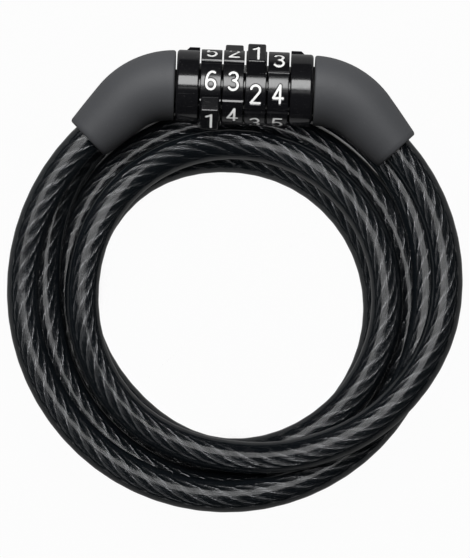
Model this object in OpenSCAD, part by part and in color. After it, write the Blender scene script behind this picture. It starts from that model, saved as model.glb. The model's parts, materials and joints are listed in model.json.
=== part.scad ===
// Combination cable lock: a four-ring lock cylinder that joins the two ends of a long
// steel cable, which lies flat in a coil of almost five turns.
// Millimetres. X runs along the lock cylinder, Y from the coil's middle to the lock,
// Z up from the surface that the coil lies on. The origin is the middle of the coil.

/* [Number rings] */
// Outer radius of a number ring
dial_r = 11.6; // [11:0.1:12.4]
// Width of a number ring along the lock
dial_w = 6.5; // [6:0.1:7.2]
// Gap between neighbouring rings, which holds a washer
dial_gap = 0.5; // [0.4:0.05:0.8]
// Chamfer on the rims of a number ring
dial_chamfer = 0.4; // [0.2:0.05:0.6]
// Width of the groove between two numbers
groove_w = 1.1; // [0.6:0.1:1.6]
// Depth of the groove between two numbers
groove_depth = 0.3; // [0.1:0.05:0.6]
// Distance from the axis to the flat of the finger tab
tab_reach = 14.2; // [13.4:0.1:14.4]
// Length of the tab's flat round the ring
tab_flat = 8.8; // [6:0.2:9]
// Width of the tab's flat along the lock
tab_w = 5.6; // [4.6:0.1:6]

/* [End caps] */
// Radius of the two end caps
cap_r = 11.2; // [10.6:0.1:12]
// Length of an end cap along the lock
cap_w = 7; // [6:0.25:9]
// Rounding of the caps' rims
cap_round = 0.9; // [0.4:0.1:1.4]
// Thickness of the closed outer wall of a cap
cap_wall = 1.75; // [1.2:0.05:2.4]
// Length of the index ridge on a cap
ridge_len = 4.7; // [3:0.1:5.2]
// Height of the index ridge above the cap
ridge_h = 1.2; // [0.6:0.1:1.6]
// Width of the index ridge
ridge_w = 2.6; // [1.6:0.1:3.6]

/* [Locking parts] */
// Radius of the sliding locking pin
pin_r = 2.5; // [2.2:0.1:2.8]
// Distance from the axis to the tops of the pin's lugs
lug_reach = 5.8; // [5.2:0.1:6.2]
// Width of a lug
lug_w = 3; // [2.4:0.1:3.4]
// Length of a lug along the pin
lug_len = 2.4; // [1.8:0.1:2.8]
// Outer radius of the slotted core tube
core_r = 4.4; // [4.1:0.05:4.6]
// Outer radius of the brass gate rings
gate_r = 8; // [7.4:0.1:8.6]
// Thickness of the gate ring's web, which blocks a lug
web_w = 2.4; // [1.8:0.1:2.8]
// Outer radius of the washers
washer_r = 7.2; // [6.8:0.1:7.6]
// Thickness of the click spring's strip
spring_t = 0.3; // [0.2:0.05:0.4]
// Width of the click spring's strip
spring_w = 2; // [1.4:0.1:2.4]
// Radius of the two roll pins
roll_pin_r = 1; // [0.8:0.05:1.2]

/* [Boots] */
// Radius of a boot where it meets the lock
boot_r = 11; // [10.4:0.1:11.4]
// Radius of a boot where the cable leaves it
boot_mouth_r = 7.7; // [7:0.1:8.4]
// How late a boot narrows: 1 is an even cone
boot_taper = 1.5; // [1:0.1:2]
// Angle that a boot turns the cable through
boot_bend = 46; // [40:1:50]
// Radius of the boot's curved centre line
boot_bend_r = 22.5; // [20:0.5:26]
// Length of the straight stretch up to the boot's mouth
boot_lead = 15; // [13:0.2:17]
// Gap between a boot and its end cap
boot_gap = 0.5; // [0.3:0.05:0.8]
// Rounding of the boot's mouth
boot_round = 1.2; // [0.6:0.1:1.6]
// Radius of the steel ferrules inside the boots
ferrule_r = 5; // [4.6:0.1:5.4]

/* [Cable] */
// Diameter of the cable over its jacket
cable_d = 10; // [9:0.1:10]
// Diameter of the wire rope in the jacket
rope_d = 7.6; // [6:0.1:7.8]
// Length of jacket inside a boot
jacket_depth = 10.4; // [10:0.1:12]
// Length of bare rope held in a ferrule
rope_grip = 8; // [6:0.5:9]

/* [Layout] */
// Height of the lock's axis above the surface
axis_z = 25; // [25:0.5:28]
// Distance from the coil's middle to the lock's axis
lock_y = 67; // [67:0.5:70]
// Distance of the lock's middle from the coil's middle, along the lock
lock_x = 1.6; // [0:0.2:2]

/* [Hidden] */
$fn = 64;

dials = 4;
numbers = 6;
number_step = 360 / numbers;
// Turn of each ring from its number 1 pointing up, towards the back of the lock
dial_turn = [-50, 130, 50.5, 172];
// Turn of the index ridges from pointing up, towards the back of the lock
ridge_turn = 106;

// Clearances
run_gap = 0.08;         // a ring turning on the core tube
slide_gap = 0.1;        // the pin sliding in the core tube, a lug in its slot
seat_gap = 0.02;        // parts pressed or seated together
washer_play = 0.03;     // each side of a washer
gate_play = 0.05;       // each side of a gate ring in its number ring
lug_room = 0.3;         // above a lug in the gate ring's recess
rope_gap = 0.05;        // between rope and jacket
grip_gap = 0.1;         // between rope and ferrule
boot_slack = 0.05;      // between a boot and what it is moulded round
eps = 0.01;
over = 1;               // how far a cut reaches past what it cuts

// Along the lock
pitch = dial_w + dial_gap;
stack_half = (dials * dial_w + (dials + 1) * dial_gap) / 2;
function dial_x(i) = (i - (dials - 1) / 2) * pitch;
cap_out = stack_half + cap_w;
boot_x = cap_out + boot_gap;
core_half = cap_out - cap_wall;
pin_bore_r = pin_r + slide_gap;
lug_back = 2.2;         // from a ring's middle back to its lug
lug_slot_w = lug_w + 2 * slide_gap;
lug_gate_w = lug_w + 4 * slide_gap;
recess_r = lug_reach + lug_room;
gate_w = dial_w - 2 * gate_play;
tip_past = 0.15;        // the pin's tip past the last ring
tip_gap = 0.4;          // between the pin's tip and the left ferrule
pin_tip_x = -stack_half - tip_past;
flange_r = 7.5;
flange_w = 1.4;
stub_r = 2;
stub_len = 6;

// Key between a gate ring and its number ring
key_w = 2;
key_h = 0.8;
key_root = 0.3;

// Index ridge: its root in the cap, its top edge's chamfer, its level top and its foot
ridge_root = 1;
ridge_chamfer = 0.3;
ridge_top = 1.2;
ridge_foot = 0.1;

// Sides of the finger tab inside the rims' chamfers
tab_edge = 0.05;

// Click spring and its groove in the underside of the core tube
groove_floor_r = core_r - 0.85;
spring_gap = 0.03;
bump_r = 0.9;
click_r = 0.5;

// Roll pins come in from below and stay hidden
roll_back = 2.6;        // from the ring stack to a roll pin's middle
roll_sunk = 0.8;        // a roll pin's lower end below the cap's surface
roll_cover = 3.2;       // cap left above the long roll pin
roll_free = 0.15;       // between the short roll pin and the pin's bore
roll_x = stack_half + roll_back;
roll_low = -cap_r + roll_sunk;
left_roll_top = cap_r - roll_cover;
right_roll_top = -pin_bore_r - roll_free;
roll_slit = 0.5;

// Boot centre line: an arc from the lock, then a straight stretch to the mouth
elbow = boot_bend_r * tan(boot_bend / 2);
corner_x = boot_x + elbow;
mouth_from_corner = elbow + boot_lead;
mouth_x = corner_x + mouth_from_corner * cos(boot_bend);
mouth_y = lock_y - mouth_from_corner * sin(boot_bend);
boot_arc = boot_bend_r * boot_bend * PI / 180;
boot_len = boot_arc + boot_lead;
boot_sides = 24;
boot_rings = 8;
boot_face_round = 0.5;
ferrule_leg = mouth_from_corner - jacket_depth - seat_gap;
ferrule_bend_r = 8;
ferrule_bend_run = ferrule_bend_r * tan(boot_bend / 2);
ferrule_waist = 0.1;
ferrule_overlap = 3;
shank_r = pin_r;
shank_end_x = pin_tip_x - tip_gap;

// Cable: rings round the coil's middle
ring_step = 15;
tube_sides = 6;
join_turn = 1710;       // where the coil's node ends and the tail's node begins
join_lead = cable_d;    // straight stretch each side of that join
left_mouth_x = lock_x - mouth_x;
right_mouth_x = lock_x + mouth_x;
mouth_turn = atan2(mouth_y, left_mouth_x);
end_turn = 5 * 360 + atan2(mouth_y, right_mouth_x);
mouth_reach = norm([left_mouth_x, mouth_y]);
end_reach = norm([right_mouth_x, mouth_y]);
// Growth of the coil's radius per degree where it leaves the left boot and enters the right one
mouth_slope = -mouth_reach * PI / 180 / tan(mouth_turn - boot_bend);
end_slope = -end_reach * PI / 180 / tan(end_turn + boot_bend);

// The coil's route: turn in degrees from +X, radius, height of the cable's middle
route = [
    [180, 65.2, 22.6], [225, 62.6, 24.0], [270, 60.8, 24.4], [315, 60.5, 20.8],
    [360, 61.5, 17.6], [405, 66.4, 10.0], [450, 67.6, 4.0], [495, 65.6, 8.0],
    [540, 58.6, 13.2], [585, 57.8, 14.0], [630, 58.8, 13.8], [675, 58.2, 10.6],
    [720, 56.6, 8.0], [765, 56.4, 5.0], [810, 57.0, 4.0], [855, 55.6, 4.0],
    [900, 52.4, 4.0], [945, 53.0, 4.0], [990, 53.4, 4.0], [1035, 49.0, 4.0],
    [1080, 46.8, 4.0], [1125, 45.6, 4.0], [1170, 45.8, 4.6], [1215, 48.0, 13.0],
    [1260, 47.4, 14.2], [1305, 45.4, 13.6], [1350, 47.9, 13.2], [1395, 48.2, 15.8],
    [1440, 49.0, 17.0], [1485, 49.8, 15.2], [1530, 49.8, 14.6], [1575, 48.8, 24.2],
    [1620, 46.4, 25.0], [1665, 46.8, 24.4], [1710, 48.0, 24.8], [1740, 52.6, 31.0],
    [1770, 59.9, 31.4], [1800, 66.6, 27.2]];
stations = concat([[mouth_turn, mouth_reach, axis_z]], route, [[end_turn, end_reach, axis_z]]);
last = len(stations) - 1;

// Slope of column k at station i, and the smooth curve through the stations
function slope(k, i) =
    i == 0 ? (k == 1 ? mouth_slope : 0) :
    i == last ? (k == 1 ? end_slope : 0) :
    (stations[i + 1][k] - stations[i - 1][k]) / (stations[i + 1][0] - stations[i - 1][0]);
function leg_of(turn, i = 0) = i < last - 1 && turn > stations[i + 1][0] ? leg_of(turn, i + 1) : i;
function curve(k, turn) =
    let (i = leg_of(turn), h = stations[i + 1][0] - stations[i][0], u = (turn - stations[i][0]) / h)
    (2 * u^3 - 3 * u^2 + 1) * stations[i][k] + (u^3 - 2 * u^2 + u) * h * slope(k, i)
    + (3 * u^2 - 2 * u^3) * stations[i + 1][k] + (u^3 - u^2) * h * slope(k, i + 1);
function coil_at(turn) = [curve(1, turn) * cos(turn), curve(1, turn) * sin(turn), curve(2, turn)];
function unit(v) = v / norm(v);

// Point on the cable's line in a boot, a given length back from the mouth
function in_boot(side, back) = [
    lock_x + side * (mouth_x - back * cos(boot_bend)), mouth_y + back * sin(boot_bend), axis_z];

join = coil_at(join_turn);
join_way = unit(coil_at(join_turn + 1) - coil_at(join_turn - 1));
least_step = 4;
first_ring = ring_step * ceil((mouth_turn + least_step) / ring_step);
coil_way = concat(
    [in_boot(-1, 0)],
    [for (turn = [first_ring : ring_step : join_turn - 2 * ring_step]) coil_at(turn)],
    [join - join_lead * join_way, join]);
tail_way = concat(
    [join, join + join_lead * join_way],
    [for (turn = [join_turn + 2 * ring_step : ring_step : end_turn - least_step]) coil_at(turn)],
    [in_boot(1, 0)]);

// A tube of straight-sided rings along a way; with a bore it is a sleeve
function way_at(way, i) = unit(
    (i == 0 ? [0, 0, 0] : unit(way[i] - way[i - 1]))
    + (i == len(way) - 1 ? [0, 0, 0] : unit(way[i + 1] - way[i])));
function ring(way, i, r) =
    let (t = way_at(way, i), side = unit(cross(t, [0, 0, 1])), up = cross(side, t), step = 360 / tube_sides)
    [for (k = [0 : tube_sides - 1]) way[i] + r * (side * cos(k * step) + up * sin(k * step))];
function on_floor(p) = [p[0], p[1], max(p[2], 0)];
function rings(way, r) = [for (i = [0 : len(way) - 1]) each [for (p = ring(way, i, r)) on_floor(p)]];
function skin(from, count, out) = [
    for (i = [0 : count - 2], k = [0 : tube_sides - 1])
    let (a = from + i * tube_sides + k, b = from + i * tube_sides + (k + 1) % tube_sides)
    each out ? [[a, b, a + tube_sides], [b, b + tube_sides, a + tube_sides]]
        : [[a, a + tube_sides, b], [b, a + tube_sides, b + tube_sides]]];
function rim(a, b, first) = [
    for (k = [0 : tube_sides - 1])
    let (n = (k + 1) % tube_sides)
    each first ? [[a + k, b + k, a + n], [a + n, b + k, b + n]]
        : [[a + k, a + n, b + k], [a + n, b + n, b + k]]];
function disc(a, first) = [
    for (k = [1 : tube_sides - 2]) first ? [a, a + k + 1, a + k] : [a, a + k, a + k + 1]];

module sleeve(way, r, bore) {
    count = len(way);
    inner = count * tube_sides;
    end = (count - 1) * tube_sides;
    polyhedron(
        concat(rings(way, r), rings(way, bore)),
        concat(
            skin(0, count, true), skin(inner, count, false),
            rim(0, inner, true), rim(end, inner + end, false)),
        convexity = 10);
}

module rod(way, r) {
    count = len(way);
    polyhedron(
        rings(way, r),
        concat(skin(0, count, true), disc(0, true), disc((count - 1) * tube_sides, false)),
        convexity = 10);
}

// The least gap of the cable to itself, measured between points along the rings' chords
chord_parts = 8;
whole_way = concat(coil_way, [for (i = [1 : len(tail_way) - 1]) tail_way[i]]);
fine_way = [for (i = [0 : len(whole_way) - 2], j = [0 : chord_parts - 1])
    whole_way[i] + (whole_way[i + 1] - whole_way[i]) * j / chord_parts];
apart_turn = 240;       // points nearer than this along the coil aren't compared
next_turn = floor(apart_turn / ring_step) * chord_parts;
least_gap = min([for (i = [0 : len(fine_way) - 1 - next_turn])
    min([for (j = [i + next_turn : len(fine_way) - 1]) norm(fine_way[i] - fine_way[j])])]) - cable_d;
function way_length(way, i = 1) = i < len(way) ? norm(way[i] - way[i - 1]) + way_length(way, i + 1) : 0;
echo(least_gap_of_the_cable_to_itself = least_gap);
echo(cable_length_between_the_boots = way_length(whole_way));

// Everything in the lock is drawn round the X axis and then put in its place
module at_lock() {
    translate([lock_x, lock_y, axis_z]) children();
}

// A cylinder or ring along X
module tube_x(r, from, to) {
    translate([from, 0, 0]) rotate([0, 90, 0]) cylinder(r = r, h = to - from);
}

// A slot above the axis that lets a lug through along X
module lug_way(w, reach, from, to) {
    translate([from, -w / 2, 0]) cube([to - from, w, reach]);
}

module core_tube() {
    color("silver") at_lock() difference() {
        tube_x(core_r, -core_half, core_half);
        tube_x(pin_bore_r, -core_half - eps, core_half + eps);
        lug_way(lug_slot_w, core_r + over, dial_x(0) - lug_back - slide_gap, core_half + eps);
        translate([-stack_half, -spring_w / 2 - slide_gap, -core_r - over])
            cube([2 * stack_half, spring_w + 2 * slide_gap, core_r + over - groove_floor_r]);
        roll_hole(-1, left_roll_top);
        roll_hole(1, right_roll_top);
    }
}

// The spring is drawn pressed level with the tube, as it is between two clicks
module click_spring() {
    low = groove_floor_r + spring_gap + spring_t;
    color("lightgray") at_lock() union() {
        translate([-stack_half + slide_gap, -spring_w / 2, -low])
            cube([2 * (stack_half - slide_gap), spring_w, spring_t]);
        for (i = [0 : dials - 1])
            translate([dial_x(i) + gate_w / 2 - web_w / 2, 0, 0]) intersection() {
                translate([0, 0, -low]) rotate([90, 0, 0]) cylinder(r = bump_r, h = spring_w, center = true);
                translate([-bump_r, -spring_w / 2, -core_r + spring_gap])
                    cube([2 * bump_r, spring_w, core_r - spring_gap - low + spring_t / 2]);
            }
    }
}

module spacer_washers() {
    tooth_root = 1;
    thick = dial_gap - 2 * washer_play;
    tooth_w = spring_w - 2 * slide_gap;
    tooth_low = groove_floor_r + spring_gap + spring_t + spring_gap;
    color("dimgray") at_lock() for (i = [0 : dials])
        translate([dial_x(i) - pitch / 2 - thick / 2, 0, 0]) {
            difference() {
                tube_x(washer_r, 0, thick);
                tube_x(core_r + seat_gap, -eps, thick + eps);
                lug_way(lug_gate_w, recess_r, -eps, thick + eps);
            }
            translate([0, -tooth_w / 2, -core_r - tooth_root])
                cube([thick, tooth_w, core_r + tooth_root - tooth_low]);
        }
}

// A cap's solid body from its ring side at x = 0 to its boot side, with rounded rims
module cap_body() {
    steps = 5;
    rim_points = [for (i = [0 : steps]) [
        cap_r - cap_round + cap_round * cos(90 * i / steps),
        cap_w - cap_round + cap_round * sin(90 * i / steps)]];
    rotate([0, 90, 0]) rotate_extrude()
        polygon(concat([[0, 0], [cap_r - dial_chamfer, 0], [cap_r, dial_chamfer]], rim_points, [[0, cap_w]]));
}

// The index ridge: tall at the rings and sloping down to the boot
module index_ridge() {
    rotate([-ridge_turn, 0, 0]) translate([0, ridge_w / 2, 0]) rotate([90, 0, 0])
        linear_extrude(ridge_w) polygon([
            [0, cap_r - ridge_root], [0, cap_r + ridge_h - ridge_chamfer],
            [ridge_chamfer, cap_r + ridge_h], [ridge_top, cap_r + ridge_h],
            [ridge_len, cap_r - ridge_foot], [ridge_len, cap_r - ridge_root]]);
}

// A blind hole from below for a roll pin
module roll_hole(side, top) {
    translate([side * roll_x, 0, -cap_r - over])
        cylinder(r = roll_pin_r + seat_gap, h = cap_r + over + top + seat_gap);
}

module end_cap(side) {
    mirror([side < 0 ? 1 : 0, 0, 0]) translate([stack_half, 0, 0]) {
        cap_body();
        index_ridge();
    }
}

module left_end_cap() {
    color([0.1, 0.1, 0.11]) at_lock() difference() {
        end_cap(-1);
        tube_x(core_r + seat_gap, -core_half - seat_gap, -stack_half + eps);
        tube_x(shank_r + seat_gap, -cap_out - eps, -stack_half);
        roll_hole(-1, left_roll_top);
    }
}

module right_end_cap() {
    color([0.1, 0.1, 0.11]) at_lock() difference() {
        end_cap(1);
        tube_x(core_r + seat_gap, stack_half - eps, core_half + seat_gap);
        tube_x(pin_bore_r, stack_half, cap_out + eps);
        lug_way(lug_gate_w, recess_r, stack_half - eps, cap_out + eps);
        roll_hole(1, right_roll_top);
    }
}

// A rolled spring pin: a slit tube standing on its lower end
module roll_pin(side, top) {
    long = top - roll_low;
    translate([side * roll_x, 0, roll_low]) difference() {
        cylinder(r = roll_pin_r, h = long);
        translate([0, 0, -eps]) cylinder(r = roll_pin_r / 2, h = long + 2 * eps);
        translate([0, -roll_slit / 2, -eps]) cube([2 * roll_pin_r, roll_slit, long + 2 * eps]);
    }
}

module left_roll_pin() {
    color("gray") at_lock() roll_pin(-1, left_roll_top);
}

module right_roll_pin() {
    color("gray") at_lock() roll_pin(1, right_roll_top);
}

// The elbow that holds the rope: a leg along the lock, a bend and a leg to the cable.
// The bend is a hair slimmer than the legs and reaches into both
module elbow_body(r, leg) {
    tube_x(r, cap_out + seat_gap, corner_x - ferrule_bend_run);
    translate([corner_x - ferrule_bend_run, -ferrule_bend_r, 0])
        rotate([0, 0, 90 - boot_bend - ferrule_overlap])
            rotate_extrude(angle = boot_bend + 2 * ferrule_overlap)
                translate([ferrule_bend_r, 0]) circle(r = r - ferrule_waist);
    translate([corner_x, 0, 0]) rotate([0, 90, -boot_bend]) translate([0, 0, ferrule_bend_run])
        cylinder(r = r, h = leg - ferrule_bend_run);
}

module rope_hole() {
    depth = rope_grip + seat_gap;
    translate([corner_x, 0, 0]) rotate([0, 90, -boot_bend])
        translate([0, 0, ferrule_leg - depth]) cylinder(r = rope_d / 2 + grip_gap, h = depth + eps);
}

module left_ferrule() {
    color("darkgray") at_lock() difference() {
        union() {
            mirror([1, 0, 0]) elbow_body(ferrule_r, ferrule_leg);
            tube_x(shank_r, -corner_x, shank_end_x);
        }
        mirror([1, 0, 0]) rope_hole();
        roll_hole(-1, left_roll_top);
    }
}

// Boot rings: radius and length from the lock's side
function boot_radius(s) = boot_r + (boot_mouth_r - boot_r) * (s / boot_len)^boot_taper;
boot_stations = concat(
    [[0, boot_r - boot_face_round], [boot_face_round, boot_radius(boot_face_round)]],
    [for (i = [1 : boot_rings]) let (s = (boot_len - boot_round) * i / boot_rings) [s, boot_radius(s)]],
    [for (a = [30 : 30 : 90]) [
        boot_len - boot_round + boot_round * sin(a), boot_radius(boot_len) - boot_round * (1 - cos(a))]]);
function boot_turn(s) = min(s / boot_bend_r * 180 / PI, boot_bend);
function boot_side(s) = [sin(boot_turn(s)), cos(boot_turn(s)), 0];
function boot_middle(s) =
    [boot_x, -boot_bend_r, 0] + boot_bend_r * boot_side(s)
    + max(s - boot_arc, 0) * [cos(boot_bend), -sin(boot_bend), 0];

module boot_skin() {
    count = len(boot_stations);
    points = [for (st = boot_stations, k = [0 : boot_sides - 1])
        boot_middle(st[0]) + st[1] * (boot_side(st[0]) * cos(k * 360 / boot_sides)
        + [0, 0, 1] * sin(k * 360 / boot_sides))];
    walls = [for (i = [0 : count - 2], k = [0 : boot_sides - 1])
        let (a = i * boot_sides + k, b = i * boot_sides + (k + 1) % boot_sides)
        each [[a, a + boot_sides, b], [b, a + boot_sides, b + boot_sides]]];
    near = [for (k = [0 : boot_sides - 1]) k];
    far = [for (k = [boot_sides - 1 : -1 : 0]) (count - 1) * boot_sides + k];
    polyhedron(points, concat(walls, [near, far]), convexity = 4);
}

module boot() {
    bore_r = ferrule_r + boot_slack;
    difference() {
        boot_skin();
        elbow_body(bore_r, mouth_from_corner + boot_round);
        tube_x(flange_r + seat_gap, cap_out, cap_out + flange_w + 2 * seat_gap);
    }
}

module left_boot() {
    color([0.28, 0.28, 0.3]) at_lock() mirror([1, 0, 0]) boot();
}

module right_boot() {
    color([0.28, 0.28, 0.3]) at_lock() boot();
}

// A number ring with its number 1, and so its finger tab, pointing up
module number_ring_body() {
    half = dial_w / 2;
    tab_base = dial_r * sin(number_step / 2);
    tab_foot = dial_r * cos(number_step / 2);
    tab_side = half - dial_chamfer - tab_edge;
    difference() {
        union() {
            rotate([0, 90, 0]) rotate_extrude()
                polygon([[0, -half], [dial_r - dial_chamfer, -half], [dial_r, -half + dial_chamfer],
                    [dial_r, half - dial_chamfer], [dial_r - dial_chamfer, half], [0, half]]);
            intersection() {
                rotate([90, 0, 90]) linear_extrude(dial_w, center = true)
                    polygon([[-tab_base, gate_r + over], [-tab_base, tab_foot], [-tab_flat / 2, tab_reach],
                        [tab_flat / 2, tab_reach], [tab_base, tab_foot], [tab_base, gate_r + over]]);
                rotate([90, 0, 0]) linear_extrude(2 * dial_r, center = true)
                    polygon([[-tab_side, gate_r], [-tab_side, tab_foot], [-tab_w / 2, tab_reach + eps],
                        [tab_w / 2, tab_reach + eps], [tab_side, tab_foot], [tab_side, gate_r]]);
            }
        }
        for (i = [0 : numbers - 1])
            rotate([number_step * (i + 0.5), 0, 0])
                translate([-half - eps, -groove_w / 2, dial_r - groove_depth])
                    cube([dial_w + 2 * eps, groove_w, tab_reach - dial_r + groove_depth]);
        tube_x(gate_r + seat_gap, -half - eps, half + eps);
        translate([-half - eps, -key_w / 2 - seat_gap, 0])
            cube([dial_w + 2 * eps, key_w + 2 * seat_gap, gate_r + key_h + seat_gap]);
    }
}

module number_ring(i) {
    color([0.08, 0.08, 0.09]) at_lock() translate([dial_x(i - 1), 0, 0])
        rotate([-dial_turn[i - 1], 0, 0]) number_ring_body();
}

// A gate ring: a web with one gate that lets a lug through, and a recess where the lug rests
module gate_ring(i) {
    half = gate_w / 2;
    web_x = half - web_w;
    color("goldenrod") at_lock() translate([dial_x(i - 1), 0, 0]) {
        difference() {
            tube_x(gate_r, -half, half);
            tube_x(core_r + run_gap, -half - eps, half + eps);
            tube_x(recess_r, -half - eps, web_x);
            lug_way(lug_gate_w, recess_r, -half - eps, half + eps);
            for (k = [1 : numbers - 1])
                rotate([number_step * k, 0, 0]) translate([0, 0, core_r + run_gap])
                    tube_x(click_r, web_x - eps, half + eps);
        }
        rotate([-dial_turn[i - 1], 0, 0]) translate([-half, -key_w / 2, gate_r - key_root])
            cube([gate_w, key_w, key_h + key_root]);
    }
}

module locking_pin() {
    color("lightsteelblue") at_lock() {
        tube_x(pin_r, pin_tip_x, cap_out + seat_gap + eps);
        tube_x(flange_r, cap_out + seat_gap, cap_out + seat_gap + flange_w);
        tube_x(stub_r, cap_out, cap_out + seat_gap + flange_w + stub_len);
        for (i = [0 : dials - 1])
            translate([dial_x(i) - lug_back, -lug_w / 2, 0]) cube([lug_len, lug_w, lug_reach]);
    }
}

module right_ferrule() {
    start = cap_out + seat_gap + flange_w + seat_gap;
    color("darkgray") at_lock() difference() {
        elbow_body(ferrule_r, ferrule_leg);
        tube_x(flange_r + over, cap_out - over, start);
        tube_x(stub_r + seat_gap, start - eps, start + stub_len);
        rope_hole();
    }
}

// The jacket starts inside the left boot, goes round the coil and ends at the join
module cable_coil() {
    color([0.16, 0.17, 0.18]) sleeve(
        concat([in_boot(-1, jacket_depth)], coil_way), cable_d / 2, rope_d / 2 + rope_gap);
}

module cable_tail() {
    color([0.16, 0.17, 0.18]) sleeve(
        concat(tail_way, [in_boot(1, jacket_depth)]), cable_d / 2, rope_d / 2 + rope_gap);
}

module rope_coil() {
    color("slategray") rod(
        concat([in_boot(-1, jacket_depth + rope_grip)], coil_way), rope_d / 2);
}

module rope_tail() {
    color("slategray") rod(
        concat(tail_way, [in_boot(1, jacket_depth + rope_grip)]), rope_d / 2);
}

core_tube();
click_spring();
spacer_washers();
left_end_cap();
right_end_cap();
left_roll_pin();
right_roll_pin();
left_ferrule();
left_boot();
number_ring(1);  // number_ring_1
number_ring(2);  // number_ring_2
number_ring(3);  // number_ring_3
number_ring(4);  // number_ring_4
gate_ring(1);  // gate_ring_1
gate_ring(2);  // gate_ring_2
gate_ring(3);  // gate_ring_3
gate_ring(4);  // gate_ring_4
locking_pin();
right_ferrule();
right_boot();
cable_coil();
cable_tail();
rope_coil();
rope_tail();
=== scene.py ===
"""The look of the combination cable lock: the coiled cable with its twisted rope, the rubber
boots, the caps and the engraved number rings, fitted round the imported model.
Metres throughout: X runs along the lock, Y from the coil's middle to the lock, Z up."""
import json
import math

import bmesh
import bpy
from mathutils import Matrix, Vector


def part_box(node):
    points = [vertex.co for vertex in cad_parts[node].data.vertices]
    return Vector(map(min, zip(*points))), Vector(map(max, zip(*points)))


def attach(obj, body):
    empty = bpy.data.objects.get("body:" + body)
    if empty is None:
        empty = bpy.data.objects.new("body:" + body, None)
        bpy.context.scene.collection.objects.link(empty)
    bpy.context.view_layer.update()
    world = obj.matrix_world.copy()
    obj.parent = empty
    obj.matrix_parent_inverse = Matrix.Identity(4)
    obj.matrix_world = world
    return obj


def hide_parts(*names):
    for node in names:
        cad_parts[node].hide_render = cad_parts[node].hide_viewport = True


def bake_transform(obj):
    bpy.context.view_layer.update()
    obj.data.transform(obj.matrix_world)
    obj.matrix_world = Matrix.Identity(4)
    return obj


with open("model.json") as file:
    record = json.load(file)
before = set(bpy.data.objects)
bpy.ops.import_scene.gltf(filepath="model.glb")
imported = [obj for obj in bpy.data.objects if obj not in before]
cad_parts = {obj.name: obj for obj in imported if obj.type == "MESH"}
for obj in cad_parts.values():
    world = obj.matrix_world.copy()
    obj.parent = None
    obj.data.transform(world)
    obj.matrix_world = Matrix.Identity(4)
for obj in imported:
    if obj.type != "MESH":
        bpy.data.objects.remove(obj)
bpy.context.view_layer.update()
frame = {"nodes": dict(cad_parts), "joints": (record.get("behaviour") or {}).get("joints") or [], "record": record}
nodes = frame["nodes"]
joints = {joint["name"]: joint for joint in frame["joints"]}
scene = bpy.context.scene
scene.view_settings.view_transform = "Standard"

# -------- sizes
MM = 0.001
TINY = 1e-6          # lengths closer than this are the same
PAST = 1 * MM        # how far a cutter reaches past what it cuts

DIALS = 4
LOCK_Y, AXIS_Z = joints["dial_1_turn"]["pos_m"][1:]
DIAL_X = [joints[f"dial_{i}_turn"]["pos_m"][0] for i in range(1, DIALS + 1)]
LOCK_X = sum(DIAL_X) / DIALS
DIAL_R = 11.6 * MM
DIAL_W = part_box("number_ring_1")[1].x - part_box("number_ring_1")[0].x
DIAL_ROUND = 0.3 * MM
GATE_R = 8.0 * MM
RUN_GAP = 0.02 * MM
# Degrees from up towards the lock's back at which each ring's number 1 and finger tab stand
DIAL_TURN = [-50, 130, 50.5, 172]
NUMBERS = 6
NUMBER_STEP = 360 / NUMBERS
GROOVE_W, GROOVE_FLOOR, GROOVE_DEPTH = 2.2 * MM, 0.9 * MM, 0.36 * MM
GROOVE_ROUND = 0.08 * MM
TAB_REACH, TAB_ROOT = 14.2 * MM, GATE_R + 1.0 * MM
TAB_FLAT, TAB_W = 8.8 * MM, 5.6 * MM
TAB_ROUND, TAB_SIDE_GAP = 0.5 * MM, 0.05 * MM

CAP_R = 11.2 * MM
CAP_IN, CAP_OUT = 14.25 * MM, 21.25 * MM
CAP_ROUND = 0.9 * MM
CAP_EDGE = 0.4 * MM
CORE_R, CORE_HALF = 4.42 * MM, 19.5 * MM
PIN_BORE_R = 2.6 * MM
SHANK_BORE_R = 2.52 * MM
LUG_GATE_W, LUG_GATE_REACH = 3.4 * MM, 6.1 * MM
RIDGE_TURN = 106
RIDGE_LEN, RIDGE_H, RIDGE_W = 4.7 * MM, 1.2 * MM, 2.6 * MM
RIDGE_ROOT, RIDGE_INSET = 1.0 * MM, 0.02 * MM     # into the cap, and back from its inner face
RIDGE_SLOPE, RIDGE_ROUND = 1.5 * MM, 0.2 * MM

BOOT_X = CAP_OUT + 0.5 * MM
BOOT_R, BOOT_MOUTH_R = 11.0 * MM, 7.7 * MM
BOOT_BEND = math.radians(46)
BOOT_BEND_R = 22.5 * MM
BOOT_LEAD = 15.0 * MM
BOOT_TAPER = 1.5
BOOT_BORE_R = 5.05 * MM
BOOT_RECESS_R, BOOT_RECESS = 7.52 * MM, 0.94 * MM
BOOT_SIDES, BOOT_RINGS = 64, 26
BOOT_FACE_ROUND, BOOT_MOUTH_ROUND = 0.6 * MM, 0.7 * MM
BOOT_MOUTH_BEVEL = 0.3 * MM

CABLE_R = 5.0 * MM
ROPE_R = 3.8 * MM
JACKET_DEPTH = 10.4 * MM
ROPE_DEPTH = JACKET_DEPTH + 8.0 * MM

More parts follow.
